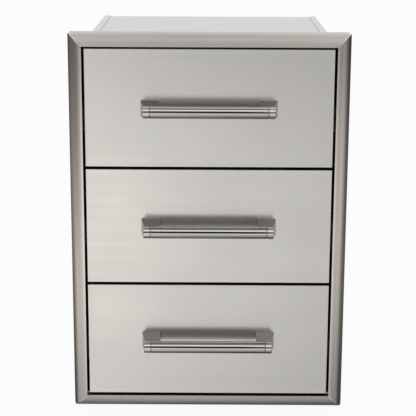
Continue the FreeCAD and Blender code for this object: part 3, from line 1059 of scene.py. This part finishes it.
@dataclass
class DrawerSkin:
    """A drawer's outer skin: one sheet folded back on its four sides.

    Args:
        centre_z: the height of its middle.
    """

    centre_z: float
    width: float = 381.0 * MM
    height: float = 182.0 * MM
    face_y: float = -14.0 * MM
    depth: float = 18.0 * MM
    sheet: float = 1.0 * MM
    edge_radius: float = 0.4 * MM
    edge_facets: int = 5
    border: float = 3.2 * MM
    crown: float = 0.12 * MM
    smooth_angle: float = 30.0

    def build(self, name: str) -> Workpiece:
        """Model the skin.

        Args:
            name: its name.

        Returns:
            The skin.
        """
        low = Vector((-self.width / 2, self.face_y, self.centre_z - self.height / 2))
        piece = Workpiece.block(name, low, low + Vector((self.width, self.depth, self.height)))
        piece.edit()
        piece.pick(Element.FACES, lambda face: face.normal.y > SQUARE_ON)
        bpy.ops.mesh.delete(type="FACE")
        piece.pick(Element.EDGES, lambda edge: any(near(c.co.y, self.face_y) for c in edge.verts))
        piece.round_edges(self.edge_radius, self.edge_facets)
        piece.pick(Element.FACES, lambda face: face.normal.y < -SQUARE_ON)
        bpy.ops.mesh.inset(thickness=self.border, depth=0.0)
        bpy.ops.mesh.inset(thickness=self.border, depth=-self.crown)
        piece.leave()
        piece.wall(self.sheet)
        piece.edit()
        piece.lay_grain()
        piece.leave()
        piece.smooth(self.smooth_angle)
        return piece


@dataclass
class TubeHandle:
    """A handle: a tube with a turned cap at each end, on two brackets.

    Args:
        centre_z: the height of its axis.
    """

    centre_z: float
    length: float = 200.0 * MM
    radius: float = 9.5 * MM
    wall: float = 1.5 * MM
    axis_y: float = -49.0 * MM
    front_y: float = -14.0 * MM
    cap_length: float = 11.0 * MM
    plug_length: float = 22.0 * MM
    plug_clearance: float = 0.05 * MM
    groove_width: float = 0.9 * MM
    groove_rim: float = 0.2 * MM
    groove_depth: float = 0.8 * MM
    cap_chamfer: float = 0.6 * MM
    arris: float = 0.15 * MM
    arris_facets: int = 2
    back_facing: float = 0.45
    bracket_inset: float = 1.0 * MM
    bracket_width: float = 23.0 * MM
    bracket_tip_height: float = 16.2 * MM
    bracket_wall_height: float = 25.4 * MM
    bracket_flare: float = 6.0 * MM
    bracket_edge: float = 0.8 * MM
    bracket_facets: int = 3
    side_facing: float = 0.9
    seat_clearance: float = 0.05 * MM
    sides: int = 96
    smooth_angle: float = 30.0

    @property
    def tube_end(self) -> float:
        """Where the tube ends and a cap starts, from the handle's middle."""
        return self.length / 2 - self.cap_length

    def off_axis(self, point: Vector) -> float:
        """A point's distance from the tube's axis."""
        return math.hypot(point.y - self.axis_y, point.z - self.centre_z)

    def ease_rims(self, piece: Workpiece, x: float) -> None:
        """Take the sharpness off the outer rims at a distance from the handle's middle.

        Args:
            piece: the piece.
            x: the distance along X.
        """

        def on_rim(corner: bmesh.types.BMVert) -> bool:
            """Whether a corner lies on such a rim."""
            return near(abs(corner.co.x), x) and near(self.off_axis(corner.co), self.radius)

        piece.pick(Element.EDGES, lambda edge: all(on_rim(corner) for corner in edge.verts))
        piece.round_edges(self.arris, self.arris_facets)

    def tube(self, name: str) -> Workpiece:
        """Model the tube, with its back marked for a darker finish, a painted shade.

        Args:
            name: its name.

        Returns:
            The tube.
        """
        piece = Workpiece.start(
            name,
            bpy.ops.mesh.primitive_cylinder_add,
            vertices=self.sides,
            radius=self.radius,
            depth=2 * self.tube_end,
            end_fill_type="NOTHING",
            location=(0.0, self.axis_y, self.centre_z),
            rotation=ACROSS_X,
        )
        piece.wall(self.wall)
        piece.edit()
        self.ease_rims(piece, self.tube_end)
        # the back of the tube, facing the drawer, is marked for its painted shade
        piece.pick(Element.FACES, lambda face: face.normal.y > self.back_facing)
        piece.mark(SECOND_FINISH)
        piece.leave()
        piece.smooth(self.smooth_angle)
        return piece

    def resize(self, old: float, new: float) -> None:
        """Scale the selected end face about the tube's axis.

        Args:
            old: its radius.
            new: its new radius.
        """
        share = new / old
        axis = (0.0, self.axis_y, self.centre_z)
        bpy.ops.transform.resize(value=(1.0, share, share), center_override=axis)

    def step(self, piece: Workpiece, old: float, new: float) -> None:
        """Step the selected end face of a turned piece from one radius to another."""
        piece.draw_out(0.0)
        self.resize(old, new)

    def caps(self, name: str) -> Workpiece:
        """Model the caps: the plug in the tube, the groove and the cap's own end.

        Args:
            name: the pair's name.

        Returns:
            Both caps, with their grooves marked for a finish of their own, a painted shade.
        """
        plug = self.radius - self.wall - self.plug_clearance
        groove = self.radius - self.groove_depth
        lips = self.groove_width + self.groove_rim
        centre = Vector((self.tube_end - self.plug_length, self.axis_y, self.centre_z))
        piece = Workpiece.disc(name, centre, plug, self.sides)
        piece.draw_out(self.plug_length)
        self.step(piece, plug, groove)
        piece.draw_out(self.groove_width)
        self.step(piece, groove, self.radius)
        piece.draw_out(self.groove_rim)
        piece.draw_out(self.cap_length - lips - self.cap_chamfer)
        piece.draw_out(self.cap_chamfer)
        self.resize(self.radius, self.radius - self.cap_chamfer)
        outer = self.length / 2
        piece.face_out(lambda face: near(face.calc_center_median().x, outer), Vector((1.0, 0.0, 0.0)))
        self.ease_rims(piece, self.tube_end + self.groove_width)
        piece.leave()
        piece.smooth(self.smooth_angle)
        inner = self.radius - 1.5 * self.groove_depth

        def in_groove(face: bmesh.types.BMFace) -> bool:
            """Whether a face is part of the groove or its rim."""
            place = face.calc_center_median()
            return -TINY < abs(place.x) - self.tube_end < lips and self.off_axis(place) > inner

        return self.pair(piece, in_groove)

    def brackets(self, name: str) -> Workpiece:
        """Model the brackets: a tapered block each, with a seat for the tube and its cap.

        Args:
            name: the pair's name.

        Returns:
            Both brackets, with their outer sides marked for a paler finish, a painted highlight.
        """
        outer = self.length / 2 - self.bracket_inset
        tip = self.bracket_tip_height
        low = Vector((outer - self.bracket_width, self.axis_y, self.centre_z - tip / 2))
        high = Vector((outer, self.front_y, self.centre_z + tip / 2))
        piece = Workpiece.block(name, low, high)
        piece.edit()
        piece.pick(
            Element.EDGES,
            lambda edge: all(near(c.co.x, outer) and near(c.co.y, self.front_y) for c in edge.verts),
        )
        bpy.ops.transform.translate(value=(self.bracket_flare, 0.0, 0.0))
        piece.pick(Element.FACES, lambda face: face.normal.y > SQUARE_ON)
        bpy.ops.transform.resize(
            value=(1.0, 1.0, self.bracket_wall_height / tip),
            center_override=(outer, self.front_y, self.centre_z),
        )
        piece.pick(Element.EDGES, lambda edge: middle(edge).y < self.front_y - TINY)
        piece.round_edges(self.bracket_edge, self.bracket_facets)
        piece.leave()
        piece.carve(self.seat(low.x - self.bracket_flare))
        piece.smooth(self.smooth_angle)

        # the outer sides take the brackets' painted highlight
        def outer_side(face: bmesh.types.BMFace) -> bool:
            """Whether a face looks away from the handle's middle."""
            away = math.copysign(1.0, face.calc_center_median().x)
            return face.normal.x * away > self.side_facing

        return self.pair(piece, outer_side)

    def seat(self, start: float) -> Workpiece:
        """Model the bar that leaves the right-hand bracket's seat when it is taken out.

        Args:
            start: where the bar starts along X.

        Returns:
            The bar.
        """
        centre = Vector((start, self.axis_y, self.centre_z))
        bar = Workpiece.disc("seat_cutter", centre, self.radius + self.seat_clearance, self.sides)
        bar.draw_out(self.bracket_width + 3 * self.bracket_flare)
        bar.face_out(lambda face: near(face.calc_center_median().x, start), Vector((-1.0, 0.0, 0.0)))
        bar.leave()
        return bar

    def pair(self, piece: Workpiece, marked: Callable) -> Workpiece:
        """Add a right-hand piece's twin, turned to the left, and mark faces for a second finish.

        Args:
            piece: the right-hand piece.
            marked: the test for the faces.

        Returns:
            The pair, as one piece.
        """
        name = piece.body.name
        piece.join(piece.copy(name + "_left", half_turn(Vector((0.0, self.axis_y, self.centre_z)))))
        piece.edit()
        piece.pick(Element.FACES, marked)
        piece.mark(SECOND_FINISH)
        piece.leave()
        return piece


@dataclass
class DrawerStack:
    """The three drawers: skins and handles modelled here, tubs and slides dressed.

    Args:
        middle_z: the height of the middle drawer's middle.
    """

    middle_z: float
    count: int = 3
    middle_number: int = 2
    pitch: float = 186.5 * MM

    def build(self) -> None:
        """Build the middle drawer's new pieces, copy them up and down, and dress the solids."""
        skin = DrawerSkin(self.middle_z)
        handle = TubeHandle(self.middle_z)
        tube = (Finish.TUBE, Finish.TUBE_BACK)
        cap = (Finish.CAP, Finish.GROOVE)
        bracket = (Finish.BRACKET, Finish.BRACKET_SIDE)
        name = f"drawer_{self.middle_number}"
        masters = (
            ("front_skin", skin.build(f"{name}_skin"), "front_steel", (Finish.SKIN,)),
            ("handle_tube", handle.tube(f"{name}_tube"), "handle_steel", tube),
            ("handle_caps", handle.caps(f"{name}_caps"), "handle_steel", cap),
            ("handle_brackets", handle.brackets(f"{name}_brackets"), "bracket_steel", bracket),
        )
        for number in range(1, self.count + 1):
            drawer = f"drawer_{number}"
            up = (self.middle_number - number) * self.pitch
            for node, master, slot, finishes in masters:
                short = node.split("_")[1]
                piece = master
                if number != self.middle_number:
                    piece = master.copy(f"{drawer}_{short}", Matrix.Translation((0.0, 0.0, up)))
                piece.finish(drawer, slot, finishes, f"{drawer}_{node}")
            self.dress(drawer)

    def dress(self, drawer: str) -> None:
        """Give a drawer's solids their finishes.

        Args:
            drawer: the start of the drawer's nodes' names.
        """
        rails = ("cabinet_rail_left", "cabinet_rail_right", "middle_rails", "rail_left", "rail_right")
        solids = {
            Finish.LINER: ("front_liner",),
            Finish.TUB: ("tub", "tub_back"),
            Finish.SCREW: ("handle_screws",),
            Finish.ZINC: rails,
            Finish.CAGE: ("outer_ball_cages", "inner_ball_cages"),
            Finish.RIVET: ("rivets",),
        }
        for look, parts in solids.items():
            look.dress(*(f"{drawer}_{part}" for part in parts))


# Studio


@dataclass(frozen=True)
class Change:
    """A smooth change of the surroundings' brightness.

    Args:
        start: where it starts: an angle in degrees, or a part of a direction.
        end: where it ends.
        level: the brightness after it.
    """

    start: float
    end: float
    level: float


FLOOR_IN_FRONT = (
    Change(-8.5, -6.5, 1.42),
    Change(-6.5, -1.0, 0.96),
    Change(-1.0, 5.5, 0.87),
)


def follow(tree: Shader, value: Number, first: Number, steps: Sequence[Change]) -> Number:
    """Follow a chain of changes.

    Args:
        tree: the node tree.
        value: the angle or distance that the changes go by.
        first: the level before the first change.
        steps: the changes.

    Returns:
        The level at that value.
    """
    level: Number = first
    for step in steps:
        level = tree.span(value, step.start, step.end, level, step.level)
    return level


@dataclass
class Surroundings:
    """The studio as a brightness for each direction.

    Above the horizon it goes by the angle round the X axis: 0 is the front's horizon, 90 straight
    up and 180 the back's horizon. A soft box hangs above the front, a dim strip is where the camera
    stands, and a white backdrop stands behind. Below the horizon it goes by the angle downwards and
    by the turn round the vertical, where 0 is the front and minus is the left. The floor is brightest
    some way in front of the unit, a little to the left, and dimmer to the sides, behind and
    underneath.

    Args:
        horizon: the brightness at the front's horizon.
        open_part: how it changes with the angle round the X axis, away from the middle.
        middle_part: how it changes with the angle in the strip in the middle.
        middle_place: the strip's middle, as a direction's X.
        middle_half: half of the strip's width.
        middle_edge: the width of its soft edges.
        high_aside: how the part above the horizon changes with a direction's X, either way.
        down: how the floor in front changes with the angle downwards.
        low_back: the share of the floor's brightness behind.
        low_far: how that share changes with the turn on the far floor, in degrees.
        low_near: how it changes with the turn on the near floor, in degrees.
        far_end: the angle downwards where the far floor ends.
        near_start: the angle downwards where the near floor starts.
    """

    horizon: float = 0.47
    open_part: tuple[Change, ...] = (
        Change(0.0, 8.0, 0.68),
        Change(33.0, 39.0, 1.1),
        Change(56.0, 64.0, 0.5),
        Change(78.0, 100.0, 1.12),
        Change(145.0, 168.0, 0.88),
    )
    middle_part: tuple[Change, ...] = (
        Change(1.0, 7.0, 0.0),
        Change(30.0, 38.0, 1.25),
        Change(57.0, 65.0, 0.24),
        Change(84.0, 112.0, 1.1),
        Change(145.0, 168.0, 0.88),
    )
    middle_place: float = -0.012
    middle_half: float = 0.05
    middle_edge: float = 0.035
    high_aside: tuple[Change, ...] = (Change(0.15, 0.95, 0.5),)
    down: tuple[Change, ...] = (
        Change(5.5, 14.0, 1.4),
        Change(17.5, 22.5, 0.52),
        Change(26.0, 34.0, 0.7),
        Change(44.0, 70.0, 0.27),
    )
    low_back: float = 0.12
    low_far: tuple[Change, ...] = (
        Change(-150.0, -95.0, 0.26),
        Change(-42.0, -18.0, 0.54),
        *FLOOR_IN_FRONT,
        Change(5.5, 10.0, 0.48),
        Change(30.0, 42.0, 0.58),
        Change(55.0, 110.0, 0.1),
    )
    low_near: tuple[Change, ...] = (
        Change(-115.0, -70.0, 0.78),
        *FLOOR_IN_FRONT,
        Change(5.5, 10.0, 0.5),
        Change(50.0, 100.0, 0.1),
    )
    far_end: float = 12.0
    near_start: float = 20.0

    def above(self, tree: Shader, parts: bpy.types.bpy_prop_collection) -> Number:
        """The brightness above the horizon.

        Args:
            tree: the world's node tree.
            parts: the direction's X, Y and Z.

        Returns:
            The brightness.
        """
        forward = tree.maths("MULTIPLY", parts["Y"], -1.0)
        rise = tree.maths("DEGREES", tree.maths("ARCTAN2", parts["Z"], forward))
        open_level = follow(tree, rise, self.horizon, self.open_part)
        middle_level = follow(tree, rise, self.horizon, self.middle_part)
        off_middle = tree.maths("ABSOLUTE", tree.maths("SUBTRACT", parts["X"], self.middle_place))
        edge = self.middle_half + self.middle_edge
        level = tree.span(off_middle, self.middle_half, edge, middle_level, open_level)
        aside = tree.maths("ABSOLUTE", parts["X"])
        return tree.maths("MULTIPLY", level, follow(tree, aside, 1.0, self.high_aside))

    def below(self, tree: Shader, parts: bpy.types.bpy_prop_collection) -> Number:
        """The brightness below the horizon.

        Args:
            tree: the world's node tree.
            parts: the direction's X, Y and Z.

        Returns:
            The brightness.
        """
        depth = tree.maths("DEGREES", tree.maths("ARCSINE", tree.maths("MULTIPLY", parts["Z"], -1.0)))
        forward = tree.maths("MULTIPLY", parts["Y"], -1.0)
        turn = tree.maths("DEGREES", tree.maths("ARCTAN2", parts["X"], forward))
        far = follow(tree, turn, self.low_back, self.low_far)
        near_by = follow(tree, turn, self.low_back, self.low_near)
        level = follow(tree, depth, self.horizon, self.down)
        return tree.maths("MULTIPLY", level, tree.span(depth, self.far_end, self.near_start, far, near_by))

    def build(self) -> None:
        """Build the world: white to the camera, the studio to everything else."""
        world = bpy.data.worlds.new("studio")
        bpy.context.scene.world = world
        world.use_nodes = True
        tree = Shader(world.node_tree)
        tree.tree.nodes.clear()
        way = tree.add("ShaderNodeTexCoord", {}).outputs["Generated"]
        parts = tree.add("ShaderNodeSeparateXYZ", {"Vector": way}).outputs
        low = tree.maths("LESS_THAN", parts["Z"], 0.0)
        high = tree.maths("SUBTRACT", 1.0, low)
        level = tree.maths(
            "ADD",
            tree.maths("MULTIPLY", high, self.above(tree, parts)),
            tree.maths("MULTIPLY", low, self.below(tree, parts)),
        )
        studio = tree.add("ShaderNodeBackground", {"Color": WHITE, "Strength": level})
        white = tree.add("ShaderNodeBackground", {"Color": WHITE, "Strength": 1.0})
        path = tree.add("ShaderNodeLightPath", {}).outputs
        seen = tree.maths("MAXIMUM", path["Is Camera Ray"], path["Is Transmission Ray"])
        tree.add("ShaderNodeOutputWorld", {0: tree.mix(seen, studio, white).outputs[0]})
        LOG.info("surroundings: %d nodes", len(tree.tree.nodes))


@dataclass
class Floor:
    """A plain pale floor: nearly white, with the unit's faint shadow.

    The steel looks through it at the surroundings, which hold the floor as the steel sees it.

    Args:
        size: its length and width.
        drop: how far it lies under the unit.
        glow: how much of it is plain white to the camera.
        pale: its darker colour.
        paler: its lighter colour.
        mottle: how many of its patches there are to a metre.
        mottle_detail: how many octaves they have.
        roughness: its roughness.
    """

    size: float = 30.0
    drop: float = 0.5 * MM
    glow: float = 0.92
    pale: Colour = (0.9, 0.9, 0.9)
    paler: Colour = (0.93, 0.93, 0.93)
    mottle: float = 3.0
    mottle_detail: float = 2.0
    roughness: float = 0.9

    def build(self) -> None:
        """Lay the floor."""
        clear_bench()
        bpy.ops.mesh.primitive_plane_add(size=self.size, location=(0.0, 0.0, -self.drop))
        plane = bpy.context.object
        plane.name = "floor"
        tree, material = Shader.of_material("floor_white")
        surface = tree.find("BSDF_PRINCIPLED")
        patches = tree.noise((self.mottle, self.mottle, self.mottle), self.mottle_detail)
        tree.feed(surface.inputs["Base Color"], tree.blend(patches, self.pale, self.paler))
        surface.inputs["Roughness"].default_value = self.roughness
        surface.inputs["Specular IOR Level"].default_value = 0.0
        path = tree.add("ShaderNodeLightPath", {}).outputs
        white = tree.add("ShaderNodeEmission", {"Color": WHITE, "Strength": 1.0})
        clear = tree.add("ShaderNodeBsdfTransparent", {})
        shown = tree.mix(tree.maths("MULTIPLY", path["Is Camera Ray"], self.glow), surface, white)
        shown = tree.mix(path["Is Glossy Ray"], shown, clear)
        tree.feed(tree.find("OUTPUT_MATERIAL").inputs["Surface"], shown.outputs[0])
        plane.data.materials.append(material)


@dataclass
class Studio:
    """The camera, and the floor and surroundings that light the unit."""

    camera_place: tuple[float, float, float] = (0.00299, -1.9755, 0.82535)
    camera_pitch: float = 14.09
    camera_yaw: float = -0.12
    camera_roll: float = 0.26
    lens: float = 112.4
    sensor: float = 36.0

    def camera(self) -> None:
        """Place the camera where the photograph was taken from."""
        data = bpy.data.cameras.new("camera")
        data.lens = self.lens
        data.sensor_width = self.sensor
        seat = bpy.data.objects.new("camera", data)
        bpy.context.scene.collection.objects.link(seat)
        aim = (
            Matrix.Rotation(math.radians(-self.camera_yaw), 4, "Z")
            @ Matrix.Rotation(math.radians(90.0 - self.camera_pitch), 4, "X")
            @ Matrix.Rotation(math.radians(self.camera_roll), 4, "Z")
        )
        seat.matrix_world = Matrix.Translation(self.camera_place) @ aim
        bpy.context.scene.camera = seat
        LOG.info("camera at %s", self.camera_place)

    def build(self) -> None:
        """Build the studio."""
        self.camera()
        Floor().build()
        Surroundings().build()
        bpy.context.scene.view_settings.view_transform = "Standard"


def main() -> None:
    """Build the drawer unit's looks and its studio."""
    logging.basicConfig(level=logging.INFO, format="%(message)s")
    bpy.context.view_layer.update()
    front_frame = FrontFrame()
    front_frame.build()
    Cabinet().dress()
    DrawerStack(front_frame.middle_z).build()
    Studio().build()
    clear_bench()


if __name__ == "__main__":
    main()
